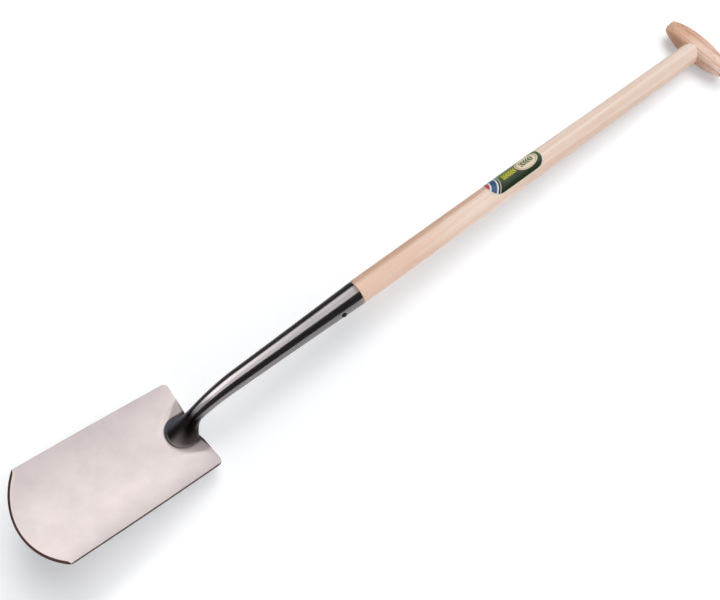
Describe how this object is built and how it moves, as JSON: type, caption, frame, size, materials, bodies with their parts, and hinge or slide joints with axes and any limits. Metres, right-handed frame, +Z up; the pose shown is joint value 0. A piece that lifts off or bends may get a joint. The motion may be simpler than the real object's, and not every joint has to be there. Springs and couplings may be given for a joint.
{
  "type": "spade",
  "caption": "Long-handled narrow spade with a dished steel blade and rounded cutting edge, a cranked closed steel socket, an ash shaft and a wooden T-grip.",
  "frame": {"origin": "on the ground under the middle of the tool's bounding box, as it lies hollow face up", "axes": "+Y from the blade's tip towards the T-grip, +X across the tool, +Z up from the ground it lies on"},
  "size_m": [0.1492, 1.245, 0.0844],
  "materials": {
    "blade": "satin stainless steel, ground brighter along the cutting edge",
    "socket": "polished stainless steel, lightly drawn along its length",
    "nail": "dark blued steel",
    "shaft": "smooth pale ash with grain along its length",
    "grip": "smooth tan hardwood with brown streaks along the bar",
    "wedge": "plain hardwood end",
    "label": null
  },
  "bodies": {
    "root": {"blade": "blade", "socket": "socket", "socket_nail": "nail", "shaft": "shaft", "t_grip": "grip", "tenon_wedge": "wedge", "label": "label"}
  },
  "joints": []
}
